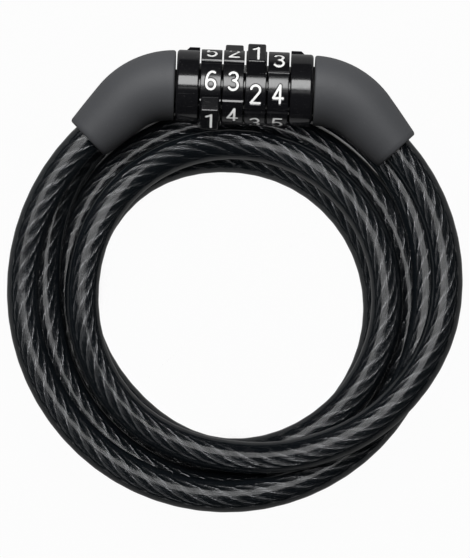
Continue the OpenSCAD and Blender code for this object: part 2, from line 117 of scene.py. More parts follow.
# The cable's route: turn in degrees from +X round the coil's middle, radius, height
ROUTE = [
    (180, 0.0652, 0.0226), (225, 0.0626, 0.0240), (270, 0.0608, 0.0244),
    (315, 0.0605, 0.0208), (360, 0.0615, 0.0176), (405, 0.0664, 0.0100),
    (450, 0.0676, 0.0040), (495, 0.0656, 0.0080), (540, 0.0586, 0.0132),
    (585, 0.0578, 0.0140), (630, 0.0588, 0.0138), (675, 0.0582, 0.0106),
    (720, 0.0566, 0.0080), (765, 0.0564, 0.0050), (810, 0.0570, 0.0040),
    (855, 0.0556, 0.0040), (900, 0.0524, 0.0040), (945, 0.0530, 0.0040),
    (990, 0.0534, 0.0040), (1035, 0.0490, 0.0040), (1080, 0.0468, 0.0040),
    (1125, 0.0456, 0.0040), (1170, 0.0458, 0.0046), (1215, 0.0480, 0.0130),
    (1260, 0.0474, 0.0142), (1305, 0.0454, 0.0136), (1350, 0.0479, 0.0132),
    (1395, 0.0482, 0.0158), (1440, 0.0490, 0.0170), (1485, 0.0498, 0.0152),
    (1530, 0.0498, 0.0146), (1575, 0.0488, 0.0242), (1620, 0.0464, 0.0250),
    (1665, 0.0468, 0.0244), (1710, 0.0480, 0.0248), (1740, 0.0526, 0.0310),
    (1770, 0.0599, 0.0314), (1800, 0.0666, 0.0272)]
JOIN_TURN = 1710
WHOLE_TURNS = 5      # from the left boot to the right one
ROUTE_STEP = 1.5     # degrees

# Frame of the picture
PICTURE_H = 558
PICTURE_MM = 0.3125 * MM      # what one pixel shows, at the height of the lock's axis
SENSOR = 36.0
CAMERA_HEIGHT, CAMERA_CLIP = 1.6, 20
CAMERA_ROLL = math.radians(2.2)
CAMERA_AIM = (0.95 * MM, 7.23 * MM)

# Light and floor
LIGHT_HEIGHT = 0.57
GLINT_HEIGHT = LIGHT_HEIGHT - MM    # under the panel that it overlaps
WORLD_STRENGTH = 0.07
FLOOR_SIZE = 8
FLOOR_GREY = (0.3, 0.3, 0.3)        # for the light that it sends back to the object
FLOOR_WHITE_SHARE = 0.97            # of what the eye sees of it
FLOOR_GLOSS_SHARE = 0.03            # of what reflections see of it
FLOOR_SHADOW_REACH = 0.03
FLOOR_OPEN_SPAN = (0.10, 0.36)      # of open sky over it, from darkest to full white
FLOOR_DARKEST = 0.03


# -------- camera and light
def add_camera():
    data = bpy.data.cameras.new("camera")
    data.sensor_width = SENSOR
    data.lens = SENSOR * (CAMERA_HEIGHT - AXIS_Z) / (PICTURE_H * PICTURE_MM)
    data.clip_end = CAMERA_CLIP
    camera = bpy.data.objects.new("camera", data)
    camera.location = (*CAMERA_AIM, CAMERA_HEIGHT)
    camera.rotation_euler = (0, 0, CAMERA_ROLL)
    scene.collection.objects.link(camera)
    scene.camera = camera


def add_softbox(name, low, high, strength, pieces, height=LIGHT_HEIGHT, gloss=True):
    """A level panel between two corners in X and Y that lights the given pieces only.
    strength is how bright its face is, and gloss says whether reflections show it."""
    data = bpy.data.lights.new(name, "AREA")
    data.shape = "RECTANGLE"
    data.size, data.size_y = high[0] - low[0], high[1] - low[1]
    data.energy = strength * math.pi * data.size * data.size_y
    light = bpy.data.objects.new(name, data)
    light.location = ((low[0] + high[0]) / 2, (low[1] + high[1]) / 2, height)
    light.visible_glossy = gloss
    scene.collection.objects.link(light)
    group = bpy.data.collections.new(name + "_lights")
    for piece in pieces:
        group.objects.link(piece)
    light.light_linking.receiver_collection = group


def add_world():
    world = bpy.data.worlds.new("studio")
    world.use_nodes = True
    background = world.node_tree.nodes["Background"]
    set_inputs(background, Color=(1, 1, 1), Strength=WORLD_STRENGTH)
    scene.world = world
    world.cycles_visibility.glossy = False


# -------- node helpers
def new_material(name):
    material = bpy.data.materials.new(name)
    material.use_nodes = True
    return material, material.node_tree, material.node_tree.nodes["Principled BSDF"]


def add_node(tree, kind, **values):
    node = tree.nodes.new(kind)
    for key, value in values.items():
        setattr(node, key, value)
    return node


def put(socket, value):
    """Gives an input a number, a colour of three numbers, or a link from another socket."""
    if isinstance(value, bpy.types.NodeSocket):
        socket.id_data.links.new(value, socket)
    else:
        socket.default_value = (*value, 1) if isinstance(value, tuple) else value


def set_inputs(node, **values):
    """Gives inputs of a node their values, by name."""
    for name, value in values.items():
        put(node.inputs[name.replace("_", " ")], value)


def add_noise(tree, vector, size, detail, stretch=None):
    """Noise whose blobs are about as wide as size, in metres."""
    if stretch:
        mapping = add_node(tree, "ShaderNodeMapping")
        mapping.inputs["Scale"].default_value = stretch
        set_inputs(mapping, Vector=vector)
        vector = mapping.outputs["Vector"]
    noise = add_node(tree, "ShaderNodeTexNoise")
    set_inputs(noise, Vector=vector, Scale=1 / size, Detail=detail)
    return noise.outputs["Fac"]


def add_range(tree, value, low, high, to_low=0, to_high=1):
    """Maps a value from one span onto another, and holds it there."""
    node = add_node(tree, "ShaderNodeMapRange")
    set_inputs(node, Value=value, From_Min=low, From_Max=high, To_Min=to_low, To_Max=to_high)
    return node.outputs["Result"]


def add_mix(tree, share, first, second):
    """Mixes two colours, each a socket or three numbers."""
    node = add_node(tree, "ShaderNodeMix", data_type="RGBA")
    put(node.inputs[0], share)
    put(node.inputs[6], first)
    put(node.inputs[7], second)
    return node.outputs[2]


def add_maths(tree, operation, first, second=0):
    node = add_node(tree, "ShaderNodeMath", operation=operation)
    put(node.inputs[0], first)
    put(node.inputs[1], second)
    return node.outputs[0]


def new_group(name, inputs, outputs):
    """An empty shader group, with the names of its sockets and their types."""
    group = bpy.data.node_groups.new(name, "ShaderNodeTree")
    for way, sockets in (("INPUT", inputs), ("OUTPUT", outputs)):
        for label, kind in sockets.items():
            group.interface.new_socket(label, in_out=way, socket_type=kind)
    return group, add_node(group, "NodeGroupInput"), add_node(group, "NodeGroupOutput")


FLOAT, COLOUR, VECTOR = "NodeSocketFloat", "NodeSocketColor", "NodeSocketVector"

# Width of each kind of mark, and from which noise value it starts and is full
PATCH_W, PATCH_SPAN = 5 * MM, (0.52, 0.72)
HAIRLINE_W, HAIRLINE_SPAN, HAIRLINE_STRETCH = 0.5 * MM, (0.66, 0.74), (0.06, 1, 1)
SPECK_W, SPECK_SPAN = 0.35 * MM, (0.7, 0.78)
SMEAR_W, SMEAR_SPAN, SMEAR_OFF_PATCHES = 9 * MM, (0.3, 0.7), 0.35
STAIN_W, STAIN_SPAN, STAIN_ROUGHNESS = 4 * MM, (0.45, 0.7), 0.15
LATHE_LINE_W, LATHE_STRETCH = 0.12 * MM, (1, 0.03, 0.03)
GRAIN_W, WAVE_W, WAVE_SPAN = 0.16 * MM, 2.4 * MM, (0.35, 0.65)
DUST_COLOUR = (0.35, 0.34, 0.33)


def make_handling_group():
    """Rubbed patches, hairline scratches and dust, as on a part that has been handled."""
    group, start, end = new_group(
        "handling_marks",
        {"Vector": VECTOR, "Color": COLOUR, "Rubbed Color": COLOUR, "Roughness": FLOAT,
         "Rubbed Roughness": FLOAT, "Dust": FLOAT},
        {"Color": COLOUR, "Roughness": FLOAT, "Height": FLOAT})
    vector = start.outputs["Vector"]
    patches = add_range(group, add_noise(group, vector, PATCH_W, 4), *PATCH_SPAN)
    hairs = add_noise(group, vector, HAIRLINE_W, 2, HAIRLINE_STRETCH)
    hairs = add_range(group, hairs, *HAIRLINE_SPAN)
    rubbed = add_maths(group, "MULTIPLY", patches, hairs)
    specks = add_range(group, add_noise(group, vector, SPECK_W, 1), *SPECK_SPAN)
    dust = add_maths(group, "MULTIPLY", specks, start.outputs["Dust"])
    colour = add_mix(group, rubbed, start.outputs["Color"], start.outputs["Rubbed Color"])
    colour = add_mix(group, dust, colour, DUST_COLOUR)
    smear = add_range(group, add_noise(group, vector, SMEAR_W, 3), *SMEAR_SPAN)
    worn = add_maths(group, "ADD", patches, SMEAR_OFF_PATCHES)
    worn = add_maths(group, "MULTIPLY", smear, worn)
    rough = add_node(group, "ShaderNodeMix", data_type="FLOAT")
    put(rough.inputs[0], worn)
    put(rough.inputs[2], start.outputs["Roughness"])
    put(rough.inputs[3], start.outputs["Rubbed Roughness"])
    sunk = add_maths(group, "MULTIPLY", hairs, -1.0)
    set_inputs(end, Color=colour, Roughness=rough.outputs[0], Height=sunk)
    return group


def make_grain_group():
    """Fine moulded grain with a slow unevenness under it."""
    group, start, end = new_group(
        "moulded_grain", {"Vector": VECTOR, "Grain": FLOAT, "Wave": FLOAT},
        {"Height": FLOAT, "Mask": FLOAT})
    vector = start.outputs["Vector"]
    fine = add_noise(group, vector, GRAIN_W, 2)
    slow = add_noise(group, vector, WAVE_W, 2)
    height = add_maths(
        group, "ADD", add_maths(group, "MULTIPLY", fine, start.outputs["Grain"]),
        add_maths(group, "MULTIPLY", slow, start.outputs["Wave"]))
    set_inputs(end, Height=height, Mask=add_range(group, slow, *WAVE_SPAN))
    return group


def make_turned_group():
    """Lathe lines round X, with stains."""
    group, start, end = new_group(
        "turned_metal",
        {"Vector": VECTOR, "Color": COLOUR, "Stain Color": COLOUR, "Roughness": FLOAT},
        {"Color": COLOUR, "Roughness": FLOAT, "Height": FLOAT})
    vector = start.outputs["Vector"]
    lines = add_noise(group, vector, LATHE_LINE_W, 2, LATHE_STRETCH)
    stains = add_range(group, add_noise(group, vector, STAIN_W, 5), *STAIN_SPAN)
    colour = add_mix(group, stains, start.outputs["Color"], start.outputs["Stain Color"])
    duller = add_maths(group, "MULTIPLY", stains, STAIN_ROUGHNESS)
    rough = add_maths(group, "ADD", start.outputs["Roughness"], duller)
    set_inputs(end, Color=colour, Roughness=rough, Height=lines)
    return group


handling_marks = make_handling_group()
moulded_grain = make_grain_group()
turned_metal = make_turned_group()


def place_group(tree, group, **values):
    """Puts a group in a material, fed by Object coordinates."""
    node = add_node(tree, "ShaderNodeGroup", node_tree=group)
    where = add_node(tree, "ShaderNodeTexCoord")
    set_inputs(node, Vector=where.outputs["Object"], **values)
    return node


def link_finish(group_node, shader):
    """A group's colour and roughness, straight into the shader."""
    out = group_node.outputs
    set_inputs(shader, Base_Color=out["Color"], Roughness=out["Roughness"])


def add_bump(tree, shader, height, distance):
    bump = add_node(tree, "ShaderNodeBump")
    set_inputs(bump, Distance=distance, Height=height)
    set_inputs(shader, Normal=bump.outputs["Normal"])


# -------- materials
RUBBED_BLACK = (0.09, 0.09, 0.09)
SCRATCH_SHARE = 0.1      # of the scratches in the relief of the gloss black
# The jacket's alpha over a span of facing, from its middle to its edges
VINYL_FACING, VINYL_ALPHA = (0.24, 0.37), (0.68, 0.95)
ZINC, ZINC_STAIN, ZINC_ROUGHNESS = (0.62, 0.62, 0.64), (0.42, 0.42, 0.44), 0.28
# Painted shade: colour and roughness of the steel that shows in the gaps between the caps and the boots, and the
# span along X where it starts
PAINTED_GAP_SHADE, PAINTED_GAP_SHADE_ROUGHNESS = (0.012, 0.012, 0.013), 0.35
PAINTED_GAP_SHADE_FROM = (CAP_OUT - 0.3 * MM, CAP_OUT - 0.2 * MM)
LATHE_RELIEF = 0.006 * MM


def gloss_black(name, colour, roughness, wave):
    """Black paint or plastic with a wet gloss, slight orange peel, rubbed patches and dust."""
    material, tree, shader = new_material(name)
    marks = place_group(
        tree, handling_marks, Color=colour, Rubbed_Color=RUBBED_BLACK,
        Roughness=roughness, Rubbed_Roughness=roughness + 0.1, Dust=0.12)
    grain = place_group(tree, moulded_grain, Grain=0.15, Wave=1.0)
    link_finish(marks, shader)
    scratches = add_maths(tree, "MULTIPLY", marks.outputs["Height"], SCRATCH_SHARE)
    add_bump(tree, shader, add_maths(tree, "ADD", grain.outputs["Height"], scratches), wave)
    set_inputs(shader, IOR=1.6)
    return material


def boot_rubber():
    """Matte moulded rubber with a fine grain."""
    material, tree, shader = new_material("matte_rubber")
    grain = place_group(tree, moulded_grain, Grain=1.0, Wave=0.8)
    marks = place_group(
        tree, handling_marks, Color=(0.062, 0.064, 0.069), Rubbed_Color=RUBBED_BLACK,
        Roughness=0.56, Rubbed_Roughness=0.64, Dust=0.12)
    link_finish(marks, shader)
    set_inputs(shader, Specular_IOR_Level=0.4, Sheen_Weight=0.03, Sheen_Roughness=0.6)
    add_bump(tree, shader, grain.outputs["Height"], 0.035 * MM)
    return material


def smoke_vinyl():
    """The clear smoke-black jacket: what is under it shows through dimly."""
    material, tree, shader = new_material("smoke_vinyl")
    marks = place_group(
        tree, handling_marks, Color=(0.009, 0.012, 0.015), Rubbed_Color=(0.04, 0.04, 0.04),
        Roughness=0.14, Rubbed_Roughness=0.22, Dust=0.06)
    grain = place_group(tree, moulded_grain, Grain=0.1, Wave=1.0)
    link_finish(marks, shader)
    facing = add_node(tree, "ShaderNodeLayerWeight")
    set_inputs(facing, Blend=0.5)
    dense = add_range(tree, facing.outputs["Facing"], *VINYL_FACING, *VINYL_ALPHA)
    set_inputs(shader, Alpha=dense, IOR=1.55)
    add_bump(tree, shader, grain.outputs["Height"], 0.02 * MM)
    return material


def smoke_bore():
    """The jacket's inner wall, which clings to the rope and hardly reflects."""
    material, tree, shader = new_material("smoke_vinyl_bore")
    grain = place_group(tree, moulded_grain, Grain=0.3, Wave=1.0)
    colour = add_mix(tree, grain.outputs["Mask"], (0.012, 0.014, 0.016), (0.02, 0.022, 0.024))
    set_inputs(shader, Base_Color=colour, Roughness=0.7, Specular_IOR_Level=0.0, Alpha=0.08)
    return material


def metal(name, colour, stain, roughness, lines):
    """Turned metal with lathe lines and stains."""
    material, tree, shader = new_material(name)
    turned = place_group(
        tree, turned_metal, Color=colour, Stain_Color=stain, Roughness=roughness)
    set_inputs(shader, Metallic=1.0)
    link_finish(turned, shader)
    add_bump(tree, shader, turned.outputs["Height"], lines)
    return material


def steel_with_painted_gap_shade():
    """Zinc-plated inside the lock. Beyond its caps, where the boots leave a gap, it carries painted shade: black,
    dull and not metallic, so that the gap looks shaded.
    """
    material, tree, shader = new_material("zinc_steel_painted_gap_shade")
    turned = place_group(
        tree, turned_metal, Color=ZINC, Stain_Color=ZINC_STAIN, Roughness=ZINC_ROUGHNESS)
    where = add_node(tree, "ShaderNodeTexCoord")
    split = add_node(tree, "ShaderNodeSeparateXYZ")
    put(split.inputs[0], where.outputs["Object"])
    along = add_maths(tree, "ABSOLUTE", add_maths(tree, "SUBTRACT", split.outputs["X"], LOCK_X))
    # painted shade: black beyond the caps, where the gaps to the boots are
    black = add_range(tree, along, *PAINTED_GAP_SHADE_FROM)
    duller = add_maths(tree, "MULTIPLY", black, PAINTED_GAP_SHADE_ROUGHNESS)
    set_inputs(
        shader, Base_Color=add_mix(tree, black, turned.outputs["Color"], PAINTED_GAP_SHADE),
        Metallic=add_maths(tree, "SUBTRACT", 1, black),
        Roughness=add_maths(tree, "ADD", turned.outputs["Roughness"], duller))
    add_bump(tree, shader, turned.outputs["Height"], LATHE_RELIEF)
    return material


def number_ink():
    """Slightly worn white ink."""
    material, tree, shader = new_material("white_ink")
    marks = place_group(
        tree, handling_marks, Color=(0.80, 0.80, 0.79), Rubbed_Color=(0.5, 0.5, 0.49),
        Roughness=0.42, Rubbed_Roughness=0.6, Dust=0.0)
    link_finish(marks, shader)
    add_bump(tree, shader, marks.outputs["Height"], 0.01 * MM)
    return material


def floor_white():
    """White sweep: the eye sees it white, with a little shadow left close to the object.
    Light falls on it as on grey, and reflections show little of it."""
    material, tree, shader = new_material("studio_floor")
    tree.nodes.remove(shader)
    output = tree.nodes["Material Output"]
    diffuse = add_node(tree, "ShaderNodeBsdfDiffuse")
    set_inputs(diffuse, Color=FLOOR_GREY)
    open_sky = add_node(tree, "ShaderNodeAmbientOcclusion", samples=8)
    set_inputs(open_sky, Distance=FLOOR_SHADOW_REACH)
    lit = add_range(tree, open_sky.outputs["AO"], *FLOOR_OPEN_SPAN, FLOOR_DARKEST)
    glow = add_node(tree, "ShaderNodeEmission")
    set_inputs(glow, Strength=lit)
    path = add_node(tree, "ShaderNodeLightPath")
    rays = path.outputs
    seen = add_maths(tree, "MAXIMUM", rays["Is Camera Ray"], rays["Is Transmission Ray"])
    mirrored = add_maths(tree, "MULTIPLY", rays["Is Glossy Ray"], FLOOR_GLOSS_SHARE)
    seen = add_maths(tree, "MAXIMUM", seen, mirrored)
    mix = add_node(tree, "ShaderNodeMixShader")
    put(mix.inputs[0], add_maths(tree, "MULTIPLY", seen, FLOOR_WHITE_SHARE))
    put(mix.inputs[1], diffuse.outputs[0])
    put(mix.inputs[2], glow.outputs[0])
    set_inputs(output, Surface=mix.outputs[0])
    return material


cap_paint = gloss_black("gloss_black_paint", (0.006, 0.006, 0.007), 0.12, 0.012 * MM)
ring_plastic = gloss_black("gloss_black_ring", (0.005, 0.005, 0.006), 0.17, 0.014 * MM)
rubber = boot_rubber()
vinyl = smoke_vinyl()
vinyl_bore = smoke_bore()
white_ink = number_ink()
plated_steel = metal("zinc_plated_steel", ZINC, ZINC_STAIN, ZINC_ROUGHNESS, LATHE_RELIEF)
spring_steel = metal("blued_spring_steel", (0.42, 0.42, 0.45), (0.2, 0.2, 0.24), 0.25, 0.004 * MM)
gate_brass = metal("turned_brass", (0.75, 0.56, 0.26), (0.45, 0.33, 0.16), 0.25, LATHE_RELIEF)
rope_steel = metal("bright_wire", (0.60, 0.61, 0.63), (0.34, 0.34, 0.34), 0.10, 0.0002 * MM)
gap_shaded_steel = steel_with_painted_gap_shade()


# -------- the cable's line
def mouth(side):
    """Where the cable leaves a boot; side is -1 at the left and 1 at the right."""
    elbow = BOOT_BEND_R * math.tan(BOOT_BEND / 2)
    reach = elbow + BOOT_LEAD
    return Vector((
        LOCK_X + side * (BOOT_X + elbow + reach * math.cos(BOOT_BEND)),
        LOCK_Y - reach * math.sin(BOOT_BEND), AXIS_Z))


def in_boot(side, back):
    """Point on the cable's line in a boot, a given length back from the mouth."""
    return mouth(side) + back * Vector((-side * math.cos(BOOT_BEND), math.sin(BOOT_BEND), 0))


def turn_and_reach(p):
    """A point's turn in degrees and distance, seen from the coil's middle."""
    return math.degrees(math.atan2(p.y, p.x)), math.hypot(p.x, p.y)


MOUTH_TURN, MOUTH_REACH = turn_and_reach(mouth(-1))
END_TURN, END_REACH = turn_and_reach(mouth(1))
END_TURN += WHOLE_TURNS * 360
# Growth of the radius per degree where the cable leaves the left boot and enters the right one
MOUTH_SLOPE = -MOUTH_REACH * math.pi / 180 / math.tan(math.radians(MOUTH_TURN) - BOOT_BEND)
END_SLOPE = -END_REACH * math.pi / 180 / math.tan(math.radians(END_TURN) + BOOT_BEND)
STATIONS = [(MOUTH_TURN, MOUTH_REACH, AXIS_Z), *ROUTE, (END_TURN, END_REACH, AXIS_Z)]


def slope(column, i):
    """Growth of a column's value per degree at station i."""
    if i == 0:
        return MOUTH_SLOPE if column == 1 else 0
    if i == len(STATIONS) - 1:
        return END_SLOPE if column == 1 else 0
    before, after = STATIONS[i - 1], STATIONS[i + 1]
    return (after[column] - before[column]) / (after[0] - before[0])


def curve(column, turn):
    """The smooth curve through one column of the stations."""
    i = max(k for k in range(len(STATIONS) - 1) if STATIONS[k][0] <= turn or k == 0)
    here, there = STATIONS[i], STATIONS[i + 1]
    h = there[0] - here[0]
    u = (turn - here[0]) / h
    return ((2 * u**3 - 3 * u**2 + 1) * here[column] + (u**3 - 2 * u**2 + u) * h * slope(column, i)
            + (3 * u**2 - 2 * u**3) * there[column] + (u**3 - u**2) * h * slope(column, i + 1))


def coil_at(turn):
    reach, angle = curve(1, turn), math.radians(turn)
    return Vector((reach * math.cos(angle), reach * math.sin(angle), curve(2, turn)))


def coil_points(start, end):
    count = math.ceil((end - start) / ROUTE_STEP)
    return [coil_at(start + (end - start) * i / count) for i in range(count + 1)]


def spaced(points, step):
    """The line again, with points an even step apart."""
    along = [0.0]
    for a, b in zip(points, points[1:]):
        along.append(along[-1] + (b - a).length)
    count = max(2, round(along[-1] / step))
    result, i = [], 0
    for n in range(count + 1):
        want = along[-1] * n / count
        while i < len(points) - 2 and along[i + 1] < want:
            i += 1
        share = (want - along[i]) / (along[i + 1] - along[i])
        result.append(points[i].lerp(points[i + 1], share))
    return result


def line_frames(points, start_way=None, end_way=None):
    """Point, side, up and length so far for each point of a line. The ways that it starts
    and ends can be given."""
    rows, far = [], 0.0
    for i, p in enumerate(points):
        way = (points[min(i + 1, len(points) - 1)] - points[max(i - 1, 0)]).normalized()
        if i == 0 and start_way:
            way = start_way
        if i == len(points) - 1 and end_way:
            way = end_way
        side = way.cross(Vector((0, 0, 1))).normalized()
        if i:
            far += (p - points[i - 1]).length
        rows.append((p, side, side.cross(way), far))
    return rows


def line_length(points):
    return sum((b - a).length for a, b in zip(points, points[1:]))


# -------- meshes of the cable
LAY = 39 * MM               # length in which a strand goes once round the rope
STRANDS = 6
STRAND_R = 1.24 * MM
STRAND_REACH = ROPE_R - STRAND_R
STRAND_STEP = 1.53 * MM
WIRES = 8                   # wires round a strand
WIRE_LAY = 16 * MM
WIRE_RELIEF = 0.45 * MM
CORE_SIDES = 6
CORE_STEP = 4 * MM
JACKET_SIDES = 36
JACKET_STEP = 1.25 * MM
JACKET_RELIEF = 0.03 * MM   # how far the jacket stands out over a strand
BORE_STEP = 2.5 * MM
BORE_GAP = 0.05 * MM        # between the rope and the jacket


def round_points(p, side, up, reach, sides):
    """A circle of points round a point of a line."""
    turns = [2 * math.pi * k / sides for k in range(sides)]
    return [p + reach * (side * math.cos(a) + up * math.sin(a)) for a in turns]


def end_faces(first, total, sides):
    """The flat ends of a tube whose rows of points go from first up to total."""
    return [tuple(reversed(range(first, first + sides))), tuple(range(total - sides, total))]


def grid_faces(first, rows, sides, flip=False):
    """The skin of a tube of rows of points."""
    faces = []
    for i in range(rows - 1):
        for k in range(sides):
            a, b = first + i * sides + k, first + i * sides + (k + 1) % sides
            face = (a, b, b + sides, a + sides)
            faces.append(face[::-1] if flip else face)
    return faces


def new_piece(name, points, faces, materials, face_materials=None):
    mesh = bpy.data.meshes.new(name)
    mesh.from_pydata(points, [], faces)
    for material in materials:
        mesh.materials.append(material)
    mesh.polygons.foreach_set("use_smooth", [True] * len(faces))
    if face_materials:
        mesh.polygons.foreach_set("material_index", face_materials)
    piece = bpy.data.objects.new(name, mesh)
    scene.collection.objects.link(piece)
    return piece


def strand_angle(k, far):
    """Where strand k is round the rope at a length from the left boot: a right-hand lay."""
    return 2 * math.pi * (k / STRANDS - far / LAY)


def make_jacket(name, points, start_length, **ways):
    """A vinyl tube that swells a little over each strand, flat where it rests on the floor."""
    outer, inner = [], []
    for p, side, up, far in line_frames(spaced(points, JACKET_STEP), **ways):
        for k in range(JACKET_SIDES):
            angle = 2 * math.pi * k / JACKET_SIDES
            swell = math.cos(STRANDS * (angle - strand_angle(0, start_length + far)))
            out = side * math.cos(angle) + up * math.sin(angle)
            point = p + (CABLE_R + JACKET_RELIEF * swell) * out
            outer.append((point.x, point.y, max(point.z, 0)))
    for p, side, up, _ in line_frames(spaced(points, BORE_STEP), **ways):
        inner += round_points(p, side, up, ROPE_R + BORE_GAP, JACKET_SIDES)
    sides, count = JACKET_SIDES, len(outer)
    skin = grid_faces(0, count // sides, sides)
    bore = grid_faces(count, len(inner) // sides, sides, flip=True)
    rims = []
    for a, b, flip in ((0, count, True), (count - sides, count + len(inner) - sides, False)):
        for k in range(sides):
            n = (k + 1) % sides
            face = (a + k, a + n, b + n, b + k)
            rims.append(face[::-1] if flip else face)
    jacket = new_piece(
        name, outer + inner, skin + rims + bore, [vinyl, vinyl_bore],
        [0] * len(skin) + [1] * (len(rims) + len(bore)))
    smooth(jacket, degrees=50)
    return jacket


def strand_points(points, k, start_length, ways):
    """The middle line of strand k, and the way out from the rope at each point."""
    result = []
    for p, side, up, far in line_frames(points, **ways):
        angle = strand_angle(k, start_length + far)
        out = side * math.cos(angle) + up * math.sin(angle)
        result.append((p + STRAND_REACH * out, out, far))
    return result


def make_rope(name, points, start_length, **ways):
    """Six strands round a core; each strand is lobed by the wires that it is laid from."""
    mesh_points, faces, creases, ends = [], [], set(), set()
    sides = 2 * WIRES
    fine = spaced(points, STRAND_STEP)
    for k in range(STRANDS):
        first = len(mesh_points)
        line = strand_points(fine, k, start_length, ways)
        for i, (p, out, far) in enumerate(line):
            way = (line[min(i + 1, len(line) - 1)][0] - line[max(i - 1, 0)][0]).normalized()
            across = way.cross(out).normalized()
            turn = -2 * math.pi * (start_length + far) / WIRE_LAY
            for j in range(sides):
                angle = math.pi * j / WIRES + turn
                reach = STRAND_R - WIRE_RELIEF * (j % 2)
                mesh_points.append(p + reach * (out * math.cos(angle) + across * math.sin(angle)))
        faces += grid_faces(first, len(line), sides)
        for face in end_faces(first, len(mesh_points), sides):
            faces.append(face)
            ends.update(face)
        creases.update(range(first + 1, len(mesh_points), 2))
    first = len(mesh_points)
    core = line_frames(spaced(points, CORE_STEP), **ways)
    for p, side, up, _ in core:
        mesh_points += round_points(p, side, up, STRAND_REACH - STRAND_R, CORE_SIDES)
    faces += grid_faces(first, len(core), CORE_SIDES)
    faces += end_faces(first, len(mesh_points), CORE_SIDES)
    rope = new_piece(name, mesh_points, faces, [rope_steel])
    sharp = rope.data.attributes.new("sharp_edge", "BOOLEAN", "EDGE")
    sharp.data.foreach_set("value", [
        set(edge.vertices) <= creases or set(edge.vertices) <= ends for edge in rope.data.edges])
    return rope


# -------- modelling by hand
ROD_SIDES = 96
ALONG = 0.9     # a face looks along an axis where its normal does at least this much


def take(piece):
    """Makes a piece the only selected and active one."""
    bpy.ops.object.select_all(action="DESELECT")
    piece.select_set(True)
    bpy.context.view_layer.objects.active = piece


def named(name, *materials):
    """Names the primitive that was just added and gives it its materials."""
    piece = bpy.context.object
    piece.name = piece.data.name = name
    for material in materials:
        piece.data.materials.append(material)
    return piece


def pick(kind, test):
    """In edit mode, selects the edges or faces that pass the test, which gets their middle."""
    bpy.ops.mesh.select_mode(type=kind)
    bpy.ops.mesh.select_all(action="DESELECT")
    mesh = bpy.context.edit_object.data
    grid = bmesh.from_edit_mesh(mesh)
    for part in grid.edges if kind == "EDGE" else grid.faces:
        middle = sum((v.co for v in part.verts), Vector()) / len(part.verts)
        part.select_set(bool(test(middle, part)))
    grid.select_flush_mode()
    bmesh.update_edit_mesh(mesh)


def bevel(test, offset, segments):
    """In edit mode, bevels the edges that pass the test."""
    pick("EDGE", test)
    bpy.ops.mesh.bevel(offset=offset, segments=segments)


def settle(piece):
    """Puts a piece's place, turn and scale into its mesh."""
    take(piece)
    bpy.ops.object.transform_apply(location=True, rotation=True, scale=True)


def combine(piece, tool, operation, crossing=False):
    """Cuts a piece with a tool or joins the tool to it, and uses the tool up."""
    modifier = piece.modifiers.new("combine", "BOOLEAN")
    modifier.operation = operation
    modifier.object = tool
    modifier.solver = "EXACT"
    modifier.use_self = crossing
    take(piece)
    bpy.ops.object.modifier_apply(modifier=modifier.name)
    bpy.data.objects.remove(tool)


def smooth(piece, degrees=30):
    """Shades smooth, apart from edges sharper than this."""
    take(piece)
    bpy.ops.object.shade_smooth_by_angle(angle=math.radians(degrees))


def add_rod(name, radius, start, end, sides=ROD_SIDES, *materials):
    """A cylinder along X from start to end."""
    bpy.ops.mesh.primitive_cylinder_add(
        vertices=sides, radius=radius, depth=end - start, location=((start + end) / 2, 0, 0),
        rotation=(0, math.pi / 2, 0))
    rod = named(name, *materials)
    settle(rod)
    return rod


def add_block(name, low, high):
    """A box between two corners."""
    low, high = Vector(low), Vector(high)
    bpy.ops.mesh.primitive_cube_add(size=1, location=(low + high) / 2, scale=high - low)
    block = named(name)
    settle(block)
    return block


def turn_about_x(piece, degrees):
    """Turns a piece round X, positive from up towards the lock's back."""
    piece.rotation_euler = (-math.radians(degrees), 0, 0)
    settle(piece)


def to_lock(piece, x=LOCK_X):
    """Moves a piece that was made round the origin onto the lock's axis."""
    piece.location = (x, LOCK_Y, AXIS_Z)
    settle(piece)


def edit(piece):
    take(piece)
    bpy.ops.object.mode_set(mode="EDIT")


def edit_done():
    bpy.ops.object.mode_set(mode="OBJECT")


def face_outwards():
    """In edit mode, turns all faces outwards."""
    bpy.ops.mesh.select_all(action="SELECT")
    bpy.ops.mesh.normals_make_consistent(inside=False)


# -------- boots
TURN_SIGN = -1      # without a window, transform.rotate turns the other way


def boot_stations():
    """Length along the boot and radius of each ring: out over the skin, round the mouth and
    back through the bore."""
    length = BOOT_BEND_R * BOOT_BEND + BOOT_LEAD

    def skin(s):
        return BOOT_R + (BOOT_MOUTH_R - BOOT_R) * (s / length) ** BOOT_TAPER

    rings = [(0.0, BOOT_RECESS_R)]
    for a in map(math.radians, (0, 30, 60, 90)):
        rings.append((
            BOOT_FACE_ROUND * (1 - math.cos(a)), skin(0) - BOOT_FACE_ROUND * (1 - math.sin(a))))
    start, end = BOOT_FACE_ROUND, length - BOOT_MOUTH_ROUND
    for i in range(1, BOOT_RINGS + 1):
        s = start + (end - start) * i / BOOT_RINGS
        rings.append((s, skin(s)))
    for a in map(math.radians, (15, 30, 45, 60, 75, 90)):
        rings.append((
            end + BOOT_MOUTH_ROUND * math.sin(a),
            skin(length) - BOOT_MOUTH_ROUND * (1 - math.cos(a))))
    rings += [(length, BOOT_BORE_R + BOOT_MOUTH_BEVEL), (length - BOOT_MOUTH_BEVEL, BOOT_BORE_R)]
    rings += [(end * i / BOOT_RINGS + BOOT_RECESS * (1 - i / BOOT_RINGS), BOOT_BORE_R)
              for i in reversed(range(BOOT_RINGS))]
    rings.append((BOOT_RECESS, BOOT_RECESS_R))
    return rings


